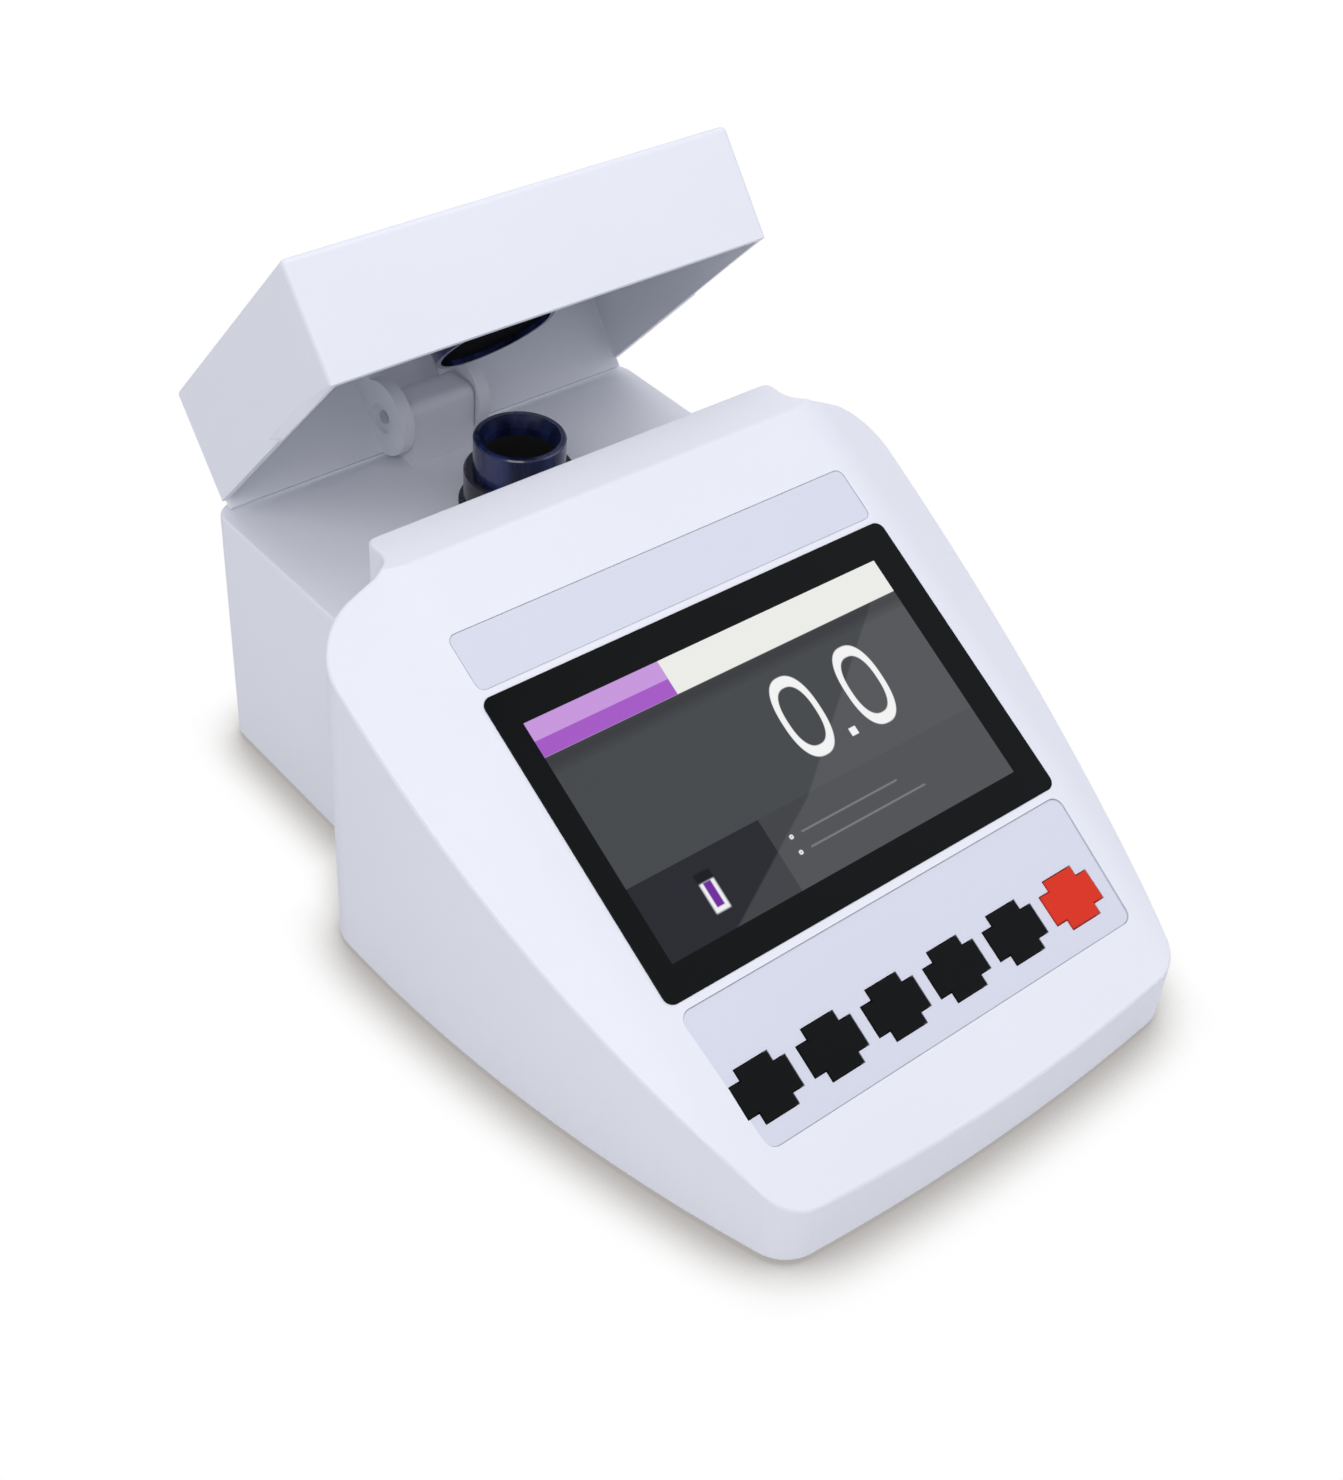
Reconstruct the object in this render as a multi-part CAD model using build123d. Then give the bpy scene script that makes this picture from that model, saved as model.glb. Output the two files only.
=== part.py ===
"""Bench turbidity meter: wedge console with display and keys, sample box behind it, hinged lid.

Millimetres, +Z up.  X is across the instrument, Y runs from the front (negative) to the back.
The finished pieces stand on the table top with the origin under the middle of the whole
instrument.  The lid stands open at its working angle, the keys are up, the power rocker is off.
"""

import os
from math import cos, radians, sin, tan

from build123d import *

# Console: plan outline
HALF_W = 122.0            # half width at the widest place
WIDEST_Y = 36.0           # where the sides are widest
SIDE_R = 594.0            # long curve of each side towards the front
FRONT_Y = -162.0          # middle of the bowed front
FRONT_R = 865.0           # bow of the front
FRONT_CORNER_R = 15.0
REAR_CORNER_R = 17.0
CONSOLE_REAR_Y = 53.3
SHOULDER_W = 30.5         # from the sides in to the flat fascia
FLAT_HALF = HALF_W - SHOULDER_W
TONGUE_IN = 3.9           # ledge behind the fascia, narrower than it; the closed lid straddles it
TONGUE_HALF = FLAT_HALF - TONGUE_IN
TONGUE_REAR_Y = 70.0
TONGUE_BLEND_R = 9.0
TONGUE_TIP_R = 3.2

# Console: top
TILT = 29.05              # slope of the fascia
PANEL_Y = -44.0           # a point of the fascia plane, level with the middle of the display
PANEL_Z = 89.2
BAND_Z = 142.0            # level ledge behind the fascia
BAND_R = 2.5              # soft crease between fascia and ledge
SHOULDER = 24.0           # slope of the shoulders beside it
SHOULDER_R = 40.0         # soft crease between fascia and shoulder

# Sample box
DECK_OUT = 1.8            # beyond the flat fascia, each side
DECK_HALF = FLAT_HALF + DECK_OUT
DECK_REAR_Y = 163.3
DECK_Z = 103.5
DECK_CORNER_R = 9.0

# Walls
WALL = 2.8
ROOF = 3.6                # thickness of the fascia and of the deck
RIM_Z = 3.0               # lower edge of the cover above the table
EDGE_R = 1.2              # rounding of the outer edges
FAR = 300.0               # reach of cutting and limiting solids
MIDDLE_Y = 11.8           # middle of the whole, open lid included, from the working origin
FIT = 0.15                # gap between fixed pieces that slip into each other
RUN = 0.35                # gap round moving pieces
SCREW_FIT = 0.05          # gap round a screw in its hole

# Display, on the fascia: u across, v up the slope, measured from the panel point
GLASS_MARGIN = 4.0        # from the edge of the flat fascia
GLASS_HALF = FLAT_HALF - GLASS_MARGIN
GLASS_LOW = -56.0
GLASS_HIGH = 57.3
GLASS_R = 3.5
GLASS_T = 1.6
GLASS_PROUD = 0.3
TAPE_T = 0.3
GLASS_BORDER = 21.0       # both black borders together
LIT_W, LIT_H = 2 * GLASS_HALF - GLASS_BORDER, 89.5
LIT_U = -1.7
LCD_FRAME = 5.4           # metal frame round the lit area
LCD_W, LCD_H, LCD_T = LIT_W + 2 * LCD_FRAME, LIT_H + 2 * LCD_FRAME, 5.7
LCD_BACK_W, LCD_BACK_H, LCD_BACK_T = 110.0, 62.0, 1.8
LCD_SKIN = 0.3

# Label strip above the glass
LABEL_IN = 1.7            # narrower than the glass, each side
LABEL_HALF = GLASS_HALF - LABEL_IN
LABEL_LOW, LABEL_HIGH = 60.0, 81.1
LABEL_R = 3.0
LABEL_DEPTH = 0.8
LABEL_T = 0.5

# Keypad
PAD_TOP, PAD_BOTTOM = -59.2, -108.7
PAD_IN = 1.5
PAD_TAPER = 2.8
PAD_TOP_HALF = GLASS_HALF - PAD_IN
PAD_BOTTOM_HALF = PAD_TOP_HALF - PAD_TAPER
PAD_R = 4.0
PAD_DEPTH = 1.4
PAD_T = 0.8
KEY_COUNT = 6
KEY_SPREAD = 139.5        # first key to last
KEY_PITCH = KEY_SPREAD / (KEY_COUNT - 1)
KEY_MID_U = -3.0
KEY_V = -91.7
KEY_W, KEY_H = 23.0, 18.8
KEY_ARM_W, KEY_ARM_H = 13.4, 11.0
KEY_PROUD = 0.5           # key face above the overlay
KEY_TRAVEL = 0.8
KEY_FLANGE = 1.1          # retaining flange beyond the slot
KEY_FLANGE_T = 1.0
KEY_STEM_R = 2.2
KEY_STEM_L = 1.6
SWITCH_W, SWITCH_H = 6.2, 3.5
PLUNGER_R, PLUNGER_H = 1.75, 1.5
BOARD_T = 1.6
KEYBOARD_IN = 5.5         # from the edge of the flat fascia
KEYBOARD_W, KEYBOARD_H = 2 * (FLAT_HALF - KEYBOARD_IN), 40.0
KEYBOARD_SCREW_U, KEYBOARD_SCREW_V = 60.0, 15.5

# Well
WELL_Y = 103.7
TUBE_R = 16.85
BORE_R = 13.0
MOUTH_R = 14.7
MOUTH_DEPTH = 5.0
TUBE_TOP = 132.4
WELL_DEPTH = 60.0
COLLAR_R = 20.2
COLLAR_TOP = 119.2
COLLAR_FOOT_R = 22.0
COLLAR_FOOT_T = 2.0
TUBE_SEAT = 3.0           # depth of the tube's seat in the chamber block
CHAMBER_W, CHAMBER_D, CHAMBER_H = 60.0, 54.0, 38.0
CHAMBER_LUG_X = 38.0
CHAMBER_LUG_Y = 18.0
CHAMBER_LUG_R = 6.0
CHAMBER_LUG_T = 6.0
CHAMBER_DROP = 10.0       # lugs below the underside of the deck
CHAMBER_SCREW_L = 13.0
PAD_DISC_R, PAD_DISC_T = 11.0, 2.0
BEAM_Z = 86.0
PORT_R = 4.0
LAMP_R, LAMP_L = 8.0, 26.0
LENS_R, LENS_T = 5.0, 3.0
SENSOR_R, SENSOR_L = 6.5, 14.0
OPTIC_SEAT = 8.0          # depth of the lamp and sensor seats in the block

# Hinge
HINGE_X, HINGE_Y, HINGE_Z = -4.5, 156.6, 120.5
BLOCK_HALF = 13.9
BLOCK_FRONT = -11.6       # from the hinge axis
BLOCK_TOP = 8.0
BLOCK_FOOT = 4.6
EAR_IN, EAR_OUT = BLOCK_HALF + 0.6, BLOCK_HALF + 5.7
EAR_R = 14.6
WEB_FRONT, WEB_BACK, WEB_H = 5.0, 8.0, 22.0   # web that ties each ear to the lid's back wall
EAR_SINK_R, EAR_SINK = 5.8, 1.6
PIN_R = 2.5
PIN_FIT = 0.05
BLOCK_SCREW_X = 8.0
BLOCK_SCREW_Y = 3.0       # in front of the hinge axis
BLOCK_SCREW_L = 11.0

# Lid, in its own frame: origin on the hinge axis, Y towards its back, Z square to its rim
OPEN = 48.17              # slope of the rim as it stands
CLOSE_TURN = 31.7         # from there down to closed
LID_RUN = 0.55            # gap between the closed lid and the ledge, each side
LID_L = 118.1
LID_H = 41.0
LID_BACK = 12.4
LID_RIM = -6.5
LID_LEAN = 8.9
LID_WALL = 2.6
LID_HALF = TONGUE_HALF + LID_RUN + LID_WALL
LID_ROOF = 2.5
LID_R = 2.0
SKIRT = 3.6               # back wall carried below the rim, down to the deck
GRIP_START, GRIP_END = 27.0, 58.6   # finger scoops outside, from the lid's front
GRIP_TIP, GRIP_HIGH, GRIP_LOW = 0.4, 3.4, 3.2
GRIP_DEPTH = 1.9
GRIP_HOOK = 6.5           # slant of the scoop's rear end
KNUCKLE_GAP_HALF = EAR_IN + 0.5
KNUCKLE_GAP_TOP = 9.5

# Light shield in the lid
CUP_Y = -58.0
CUP_RIM = 1.2
CUP_R = 23.1
CUP_WALL = 1.8
CUP_DISC_T = 2.5
CUP_BOSS_H = 3.5
CUP_SCREW_R = 13.0
SEAL_IN = 2.0             # foam face inside the cup's rim

# Back panel
PLATE_W, PLATE_H, PLATE_T = 104.0, 34.0, 1.5
PLATE_LIP_X, PLATE_LIP_Z = 10.0, 4.0      # what it rests on, at its ends and edges
PLATE_SCREW_IN = 5.0
PLATE_SCREW_L = 8.0
PLATE_Z = 40.0
PLATE_R = 3.0
ROCKER_X = -34.0
ROCKER_W, ROCKER_H = 13.0, 19.4
ROCKER_FRAME_W, ROCKER_FRAME_H, ROCKER_FRAME_T = 15.2, 21.2, 1.8
ROCKER_BODY = 17.0
ROCKER_TURN = 10.0
INLET_X = 0.0
PORT_X = 32.0

# Base
BASE_T = 3.0
BASE_Z = 3.6
BOSS_R = 4.0
PILOT_R = 1.5
SCREW_R = 1.45
HEAD_R, HEAD_T = 2.8, 1.9
FOOT_R, FOOT_PLUG_R = 9.0, 4.0
FRONT_FOOT_IN, FRONT_FOOT_Y = 11.5, -126.0     # from the flat fascia's edge
REAR_FOOT_IN, REAR_FOOT_Y = 15.3, 138.0        # from the deck's edge
FRONT_BOSS_IN, FRONT_BOSS_Y = 29.5, -150.0
SIDE_BOSS_IN, SIDE_BOSS_Y = 18.0, 20.0         # from the widest place
REAR_BOSS_IN, REAR_BOSS_Y = 13.3, 116.0
BASE_SCREW_L = 11.0
VENTS, VENT_L, VENT_W, VENT_PITCH, VENT_Y = 7, 30.0, 3.0, 9.0, 60.0
MAIN_W, MAIN_D, MAIN_Y = 150.0, 100.0, -24.0
MAIN_STAND = 8.0
MAIN_SCREW_IN = 6.0       # screws of the board from its edges
BOARD_SCREW_L = 7.0
CHIPS = [                 # centre from the board's middle, width, depth, height
    (-42.0, 14.0, 20.0, 20.0, 1.6),
    (-8.0, -10.0, 14.0, 10.0, 1.6),
    (34.0, 12.0, 34.0, 28.0, 4.0),
    (40.0, -28.0, 26.0, 6.0, 8.0),
    (-36.0, -30.0, 18.0, 6.0, 8.0),
]
CANS = [(6.0, 32.0, 5.0, 12.0), (20.0, 36.0, 4.0, 10.0)]   # centre, radius, height

FASCIA = Plane(
    origin=(0, PANEL_Y, PANEL_Z),
    x_dir=(1, 0, 0),
    z_dir=(0, -sin(radians(TILT)), cos(radians(TILT))),
)
SECTION = Plane(
    origin=(0, PANEL_Y, PANEL_Z),
    x_dir=(1, 0, 0),
    z_dir=(0, -cos(radians(TILT)), -sin(radians(TILT))),
)
LID_FRAME = Plane(
    origin=(0, HINGE_Y, HINGE_Z),
    x_dir=(1, 0, 0),
    z_dir=(0, sin(radians(OPEN)), cos(radians(OPEN))),
)
UP = (Align.CENTER, Align.CENTER, Align.MIN)
DOWN = (Align.CENTER, Align.CENTER, Align.MAX)


def upright(radius, low, high, x=0.0, y=0.0):
    """Vertical cylinder between two heights."""
    return Pos(x, y, low) * Cylinder(radius, high - low, align=UP)


def across(radius, x0, x1):
    """Cylinder along X, on the X axis."""
    return Pos((x0 + x1) / 2, 0, 0) * Rot(0, 90, 0) * Cylinder(radius, abs(x1 - x0))


def inward(radius, y0, y1, x, z):
    """Cylinder along Y."""
    return Pos(x, (y0 + y1) / 2, z) * Rot(90, 0, 0) * Cylinder(radius, y1 - y0)


def screw(length):
    """Pan-head screw, head underside at the origin, shank downwards, cross recess on top."""
    body = Cylinder(SCREW_R, length, align=DOWN) + Cylinder(HEAD_R, HEAD_T, align=UP)
    slot = Pos(0, 0, HEAD_T) * Box(2.6, 0.7, 1.8)
    return body - slot - Rot(0, 0, 90) * slot


# Outlines of the housing


def console_plan(inset):
    """Plan of the console: three large discs and a straight back, with the ledge added."""
    front = Pos(0, FRONT_Y + FRONT_R) * Circle(FRONT_R - inset)
    right = Pos(HALF_W - SIDE_R, WIDEST_Y) * Circle(SIDE_R - inset)
    left = mirror(right, about=Plane.YZ)
    depth = CONSOLE_REAR_Y - inset - FRONT_Y
    strip = Pos(0, FRONT_Y + depth / 2) * Rectangle(3 * HALF_W, depth)
    face = front & right & left & strip
    face = fillet(face.vertices().group_by(Axis.Y)[0], FRONT_CORNER_R - inset)
    face = fillet(face.vertices().group_by(Axis.Y)[-1], REAR_CORNER_R - inset)
    reach = TONGUE_REAR_Y - inset
    face = face + Pos(0, reach / 2) * Rectangle(2 * (TONGUE_HALF - inset), reach)
    roots = [
        v
        for v in face.vertices()
        if abs(v.Y - CONSOLE_REAR_Y + inset) < 0.01 and abs(abs(v.X) - TONGUE_HALF + inset) < 0.01
    ]
    face = fillet(roots, TONGUE_BLEND_R + inset)
    return fillet(face.vertices().group_by(Axis.Y)[-1], max(TONGUE_TIP_R - inset, EDGE_R / 2))


def deck_plan(inset, front):
    depth = DECK_REAR_Y - inset - front
    plan = Pos(0, front + depth / 2) * Rectangle(2 * (DECK_HALF - inset), depth)
    return fillet(plan.vertices().group_by(Axis.Y)[-1], DECK_CORNER_R - inset)


def fascia_z(y, drop):
    return PANEL_Z + (y - PANEL_Y) * tan(radians(TILT)) - drop / cos(radians(TILT))


def roof_block(drop):
    """Everything below the fascia and the level ledge, both lowered square to themselves."""
    level = BAND_Z - drop
    crease_y = PANEL_Y + (level - PANEL_Z + drop / cos(radians(TILT))) / tan(radians(TILT))
    side = make_face(
        Polyline(
            (-FAR, -FAR),
            (-FAR, fascia_z(-FAR, drop)),
            (crease_y, level),
            (FAR, level),
            (FAR, -FAR),
            close=True,
        )
    )
    crease = side.vertices().sort_by_distance((crease_y, level))[0]
    side = fillet(crease, BAND_R)
    return extrude(Plane.YZ * side, FAR, both=True)


def shoulder_block(drop):
    """Everything below the flat fascia and the two sloping shoulders."""
    slope = tan(radians(SHOULDER))
    edge = FLAT_HALF + drop * (1 - 1 / cos(radians(SHOULDER))) / slope
    low = -drop - (FAR - edge) * slope
    profile = make_face(
        Polyline(
            (-FAR, low),
            (-edge, -drop),
            (edge, -drop),
            (FAR, low),
            (FAR, -2 * FAR),
            (-FAR, -2 * FAR),
            close=True,
        )
    )
    creases = [v for v in profile.vertices() if abs(v.Y + drop) < 0.01]
    profile = fillet(creases, SHOULDER_R - drop)
    return extrude(SECTION * profile, FAR, both=True)


def console_block(inset, drop, bottom):
    body = extrude(Pos(0, 0, bottom) * console_plan(inset), BAND_Z + EDGE_R - bottom)
    return body & roof_block(drop) & shoulder_block(drop)


def deck_block(inset, drop, bottom):
    front = TONGUE_REAR_Y - FRONT_CORNER_R - REAR_CORNER_R
    return extrude(Pos(0, 0, bottom) * deck_plan(inset, front), DECK_Z - drop - bottom)


def roof_edges(body):
    """Outer edges of the upper faces: those that only one upward face has, above open air."""
    roofs = [face for face in body.faces() if face.normal_at().Z > 0.3]
    seen = [edge for face in roofs for edge in face.edges()]
    single = [edge for edge in seen if sum(edge.is_same(other) for other in seen) == 1]
    at_ledge_foot = [
        edge
        for edge in single
        if abs(edge.center().Z - DECK_Z) < 0.01 and edge.center().Y < TONGUE_REAR_Y + 0.01
    ]
    return [edge for edge in single if not any(edge.is_same(other) for other in at_ledge_foot)]


def on_fascia(shape, u, v, n=0.0):
    return FASCIA * Pos(u, v, n) * shape


def glass_outline(margin):
    height = GLASS_HIGH - GLASS_LOW
    shape = RectangleRounded(2 * (GLASS_HALF + margin), height + 2 * margin, GLASS_R + margin)
    return Pos(0, (GLASS_HIGH + GLASS_LOW) / 2) * shape


def label_outline(margin):
    shape = RectangleRounded(
        2 * (LABEL_HALF + margin), LABEL_HIGH - LABEL_LOW + 2 * margin, LABEL_R + margin
    )
    return Pos(0, (LABEL_HIGH + LABEL_LOW) / 2) * shape


def pad_outline(margin):
    shape = make_face(
        Polyline(
            (-PAD_TOP_HALF - margin, PAD_TOP + margin),
            (PAD_TOP_HALF + margin, PAD_TOP + margin),
            (PAD_BOTTOM_HALF + margin, PAD_BOTTOM - margin),
            (-PAD_BOTTOM_HALF - margin, PAD_BOTTOM - margin),
            close=True,
        )
    )
    return fillet(shape.vertices(), PAD_R + margin)


def key_outline(margin):
    """Cross of two bars, its corners cut back by square notches."""
    wide = Rectangle(KEY_W + 2 * margin, KEY_ARM_H + 2 * margin)
    tall = Rectangle(KEY_ARM_W + 2 * margin, KEY_H + 2 * margin)
    return wide + tall


KEY_US = [KEY_MID_U + KEY_PITCH * (k - (KEY_COUNT - 1) / 2) for k in range(KEY_COUNT)]
POCKET = GLASS_T + TAPE_T - GLASS_PROUD
KEYBOARD_TOP = -(ROOF + RUN + KEY_FLANGE_T + KEY_STEM_L + KEY_TRAVEL + RUN + PLUNGER_H + SWITCH_H)
KEYBOARD_POSTS = [
    (u, KEY_V + v)
    for u in (-KEYBOARD_SCREW_U, KEYBOARD_SCREW_U)
    for v in (-KEYBOARD_SCREW_V, KEYBOARD_SCREW_V)
]
DECK_UNDER = DECK_Z - ROOF
CHAMBER_BOTTOM = DECK_UNDER - CHAMBER_H
WELL_BOTTOM = TUBE_TOP - WELL_DEPTH
BASE_TOP = BASE_Z + BASE_T
FEET = [(side * (FLAT_HALF - FRONT_FOOT_IN), FRONT_FOOT_Y) for side in (-1, 1)]
FEET += [(side * (DECK_HALF - REAR_FOOT_IN), REAR_FOOT_Y) for side in (-1, 1)]
COVER_BOSSES = [(side * (FLAT_HALF - FRONT_BOSS_IN), FRONT_BOSS_Y) for side in (-1, 1)]
COVER_BOSSES += [(side * (HALF_W - SIDE_BOSS_IN), SIDE_BOSS_Y) for side in (-1, 1)]
COVER_BOSSES += [(side * (DECK_HALF - REAR_BOSS_IN), REAR_BOSS_Y) for side in (-1, 1)]
LUGS = [(x, WELL_Y + y) for x in (-CHAMBER_LUG_X, CHAMBER_LUG_X) for y in (-CHAMBER_LUG_Y, CHAMBER_LUG_Y)]
BLOCK_SCREWS = [(HINGE_X + side * BLOCK_SCREW_X, HINGE_Y - BLOCK_SCREW_Y) for side in (-1, 1)]
PLATE_SCREWS = [
    (x * (PLATE_W / 2 - PLATE_SCREW_IN), PLATE_Z + z * (PLATE_H / 2 - PLATE_SCREW_IN))
    for x in (-1, 1)
    for z in (-1, 1)
]

# Housing cover

outer = console_block(0, 0, RIM_Z) + deck_block(0, 0, RIM_Z)
outer = fillet(roof_edges(outer), EDGE_R)
hollow = console_block(WALL, ROOF, RIM_Z - 1) + deck_block(WALL, ROOF, RIM_Z - 1)
cover = outer - hollow

cover -= FASCIA * extrude(glass_outline(FIT), -POCKET)
cover -= FASCIA * extrude(Pos(LIT_U, 0) * Rectangle(LCD_W + 1, LCD_H + 1), -2 * ROOF)
cover -= FASCIA * extrude(label_outline(FIT), -LABEL_DEPTH)
cover -= FASCIA * extrude(pad_outline(FIT), -PAD_DEPTH)
for u in KEY_US:
    cover -= on_fascia(extrude(key_outline(RUN), -2 * ROOF), u, KEY_V)

# hanging bosses for the keypad board, the base screws and the sample chamber
for u, v in KEYBOARD_POSTS:
    post = Pos(0, 0, KEYBOARD_TOP) * Cylinder(BOSS_R, -KEYBOARD_TOP - ROOF + 0.5, align=UP)
    hole = Pos(0, 0, KEYBOARD_TOP) * Cylinder(PILOT_R, 7.0, align=UP)
    cover += on_fascia(post, u, v)
    cover -= on_fascia(hole, u, v)
for x, y in COVER_BOSSES:
    cover += upright(BOSS_R, BASE_TOP, BAND_Z, x, y) & hollow
    cover -= upright(PILOT_R, BASE_TOP - 1, BASE_TOP + BASE_SCREW_L + 3, x, y)
for x, y in LUGS:
    cover += upright(BOSS_R, DECK_UNDER - CHAMBER_DROP, DECK_UNDER + 0.5, x, y)
    cover -= upright(PILOT_R, DECK_UNDER - CHAMBER_DROP - 1, DECK_UNDER - 1, x, y)

cover -= upright(TUBE_R + FIT, DECK_UNDER - 1, DECK_Z + 1, 0, WELL_Y)
for x, y in BLOCK_SCREWS:
    cover -= upright(SCREW_R + SCREW_FIT, DECK_UNDER - 1, DECK_Z + 1, x, y)

# recess and window for the back panel
plate_cut = RectangleRounded(PLATE_W + 2 * FIT, PLATE_H + 2 * FIT, PLATE_R + FIT)
BACK = Plane(origin=(0, DECK_REAR_Y, PLATE_Z), x_dir=(-1, 0, 0), z_dir=(0, 1, 0))
cover -= BACK * extrude(plate_cut, -PLATE_T)
cover -= BACK * extrude(Rectangle(PLATE_W - 2 * PLATE_LIP_X, PLATE_H - 2 * PLATE_LIP_Z), -2 * WALL)
for x, z in PLATE_SCREWS:
    cover += inward(BOSS_R, DECK_REAR_Y - PLATE_SCREW_L - 2, DECK_REAR_Y - PLATE_T - FIT, x, z)
    cover -= inward(PILOT_R, DECK_REAR_Y - PLATE_SCREW_L - 3, DECK_REAR_Y, x, z)

# Base plate, feet and screws

base_inset = WALL + 0.5
base_plan = console_plan(base_inset) + deck_plan(base_inset, CONSOLE_REAR_Y - WALL)
base = extrude(Pos(0, 0, BASE_Z) * base_plan, BASE_T)
for x, y in COVER_BOSSES:
    base -= upright(SCREW_R + SCREW_FIT, BASE_Z - 1, BASE_TOP + 1, x, y)
    base -= upright(HEAD_R + FIT, BASE_Z - 1, BASE_Z + HEAD_T, x, y)
for x, y in FEET:
    base -= upright(FOOT_PLUG_R, BASE_Z - 1, BASE_TOP + 1, x, y)
MAIN_CORNERS = [
    (x * (MAIN_W / 2 - MAIN_SCREW_IN), MAIN_Y + y * (MAIN_D / 2 - MAIN_SCREW_IN))
    for x in (-1, 1)
    for y in (-1, 1)
]
for x, y in MAIN_CORNERS:
    base += upright(BOSS_R, BASE_TOP - 0.5, BASE_TOP + MAIN_STAND, x, y)
    base -= upright(PILOT_R, BASE_TOP, BASE_TOP + MAIN_STAND + 1, x, y)
for k in range(VENTS):
    slot = SlotCenterToCenter(VENT_L, VENT_W)
    base -= extrude(Pos(0, VENT_Y + VENT_PITCH * k, BASE_Z - 1) * slot, BASE_T + 2)

base_screws = [Pos(x, y, BASE_Z + HEAD_T) * Rot(180, 0, 0) * screw(BASE_SCREW_L) for x, y in COVER_BOSSES]
feet = []
for x, y in FEET:
    pad = upright(FOOT_R, 0, BASE_Z, x, y)
    pad = chamfer(pad.edges().group_by(Axis.Z)[0], 1.0)
    feet.append(pad + upright(FOOT_PLUG_R - SCREW_FIT, BASE_Z, BASE_TOP, x, y))

# Display

glass = FASCIA * extrude(Pos(0, 0, GLASS_PROUD) * glass_outline(0), -GLASS_T)
tape_face = glass_outline(-0.6) - Pos(LIT_U, 0) * Rectangle(LIT_W + 1, LIT_H + 1)
tape = FASCIA * extrude(Pos(0, 0, -POCKET) * tape_face, TAPE_T)
lcd = Pos(LIT_U, 0, -POCKET) * Box(LCD_W, LCD_H, LCD_T, align=DOWN)
lcd -= Pos(LIT_U, 0, -POCKET) * Box(LIT_W, LIT_H, LCD_SKIN, align=DOWN)
lcd += Pos(LIT_U, 0, -POCKET - LCD_T) * Box(LCD_BACK_W, LCD_BACK_H, LCD_BACK_T, align=DOWN)
lcd = FASCIA * lcd

label = FASCIA * extrude(Pos(0, 0, -LABEL_DEPTH) * label_outline(-FIT), LABEL_T)

# Keypad

pad_face = pad_outline(-FIT)
for u in KEY_US:
    pad_face -= Pos(u, KEY_V) * key_outline(RUN)
keypad = FASCIA * extrude(Pos(0, 0, -PAD_DEPTH) * pad_face, PAD_T)


def key(u):
    """Moulded key: cross-shaped cap, retaining flange below the fascia, stem onto the switch."""
    cap = Pos(0, 0, -ROOF - RUN) * extrude(key_outline(0), ROOF + RUN - PAD_DEPTH + PAD_T + KEY_PROUD)
    cap = chamfer(cap.faces().sort_by(Axis.Z)[-1].edges(), 0.4)
    flange = Pos(0, 0, -ROOF - RUN - KEY_FLANGE_T) * extrude(key_outline(KEY_FLANGE), KEY_FLANGE_T)
    stem = Pos(0, 0, -ROOF - RUN - KEY_FLANGE_T) * Cylinder(KEY_STEM_R, KEY_STEM_L, align=DOWN)
    return on_fascia(cap + flange + stem, u, KEY_V)


keys = [key(u) for u in KEY_US]
keyboard = Pos(0, KEY_V, KEYBOARD_TOP) * Box(KEYBOARD_W, KEYBOARD_H, BOARD_T, align=DOWN)
for u, v in KEYBOARD_POSTS:
    keyboard -= Pos(u, v, KEYBOARD_TOP) * Cylinder(SCREW_R + SCREW_FIT, 3 * BOARD_T)
keyboard = FASCIA * keyboard
switches = []
for u in KEY_US:
    body = Pos(0, 0, KEYBOARD_TOP) * Box(SWITCH_W, SWITCH_W, SWITCH_H, align=UP)
    button = Pos(0, 0, KEYBOARD_TOP + SWITCH_H) * Cylinder(PLUNGER_R, PLUNGER_H, align=UP)
    switches.append(on_fascia(body + button, u, KEY_V))
keyboard_screws = [
    on_fascia(Pos(0, 0, KEYBOARD_TOP - BOARD_T) * Rot(180, 0, 0) * screw(BOARD_SCREW_L), u, v)
    for u, v in KEYBOARD_POSTS
]

# Main board

MAIN_Z = BASE_TOP + MAIN_STAND
main_board = Pos(0, MAIN_Y, MAIN_Z) * Box(MAIN_W, MAIN_D, BOARD_T, align=UP)
for x, y in MAIN_CORNERS:
    main_board -= upright(SCREW_R + SCREW_FIT, MAIN_Z - 1, MAIN_Z + 3, x, y)
main_screws = [Pos(x, y, MAIN_Z + BOARD_T) * screw(BOARD_SCREW_L) for x, y in MAIN_CORNERS]
MAIN_TOP = MAIN_Z + BOARD_T
board_parts = [Pos(x, MAIN_Y + y, MAIN_TOP) * Box(w, d, h, align=UP) for x, y, w, d, h in CHIPS]
board_parts += [Pos(x, MAIN_Y + y, MAIN_TOP) * Cylinder(r, h, align=UP) for x, y, r, h in CANS]

# Well and optics

tube_foot = DECK_UNDER - TUBE_SEAT
tube = upright(TUBE_R, tube_foot, TUBE_TOP, 0, WELL_Y) - upright(BORE_R, tube_foot - 1, TUBE_TOP + 1, 0, WELL_Y)
flare = Pos(0, WELL_Y, TUBE_TOP - MOUTH_DEPTH) * Cone(BORE_R, MOUTH_R, MOUTH_DEPTH, align=UP)
tube -= flare
tube = chamfer(tube.edges().group_by(Axis.Z)[-1].sort_by(SortBy.LENGTH)[-1], 0.5)

collar = upright(COLLAR_FOOT_R, DECK_Z, DECK_Z + COLLAR_FOOT_T, 0, WELL_Y)
collar += upright(COLLAR_R, DECK_Z, COLLAR_TOP, 0, WELL_Y)
collar = chamfer(collar.edges().group_by(Axis.Z)[-1], 0.8)
collar -= upright(TUBE_R + FIT, DECK_Z - 1, COLLAR_TOP + 1, 0, WELL_Y)

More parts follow.
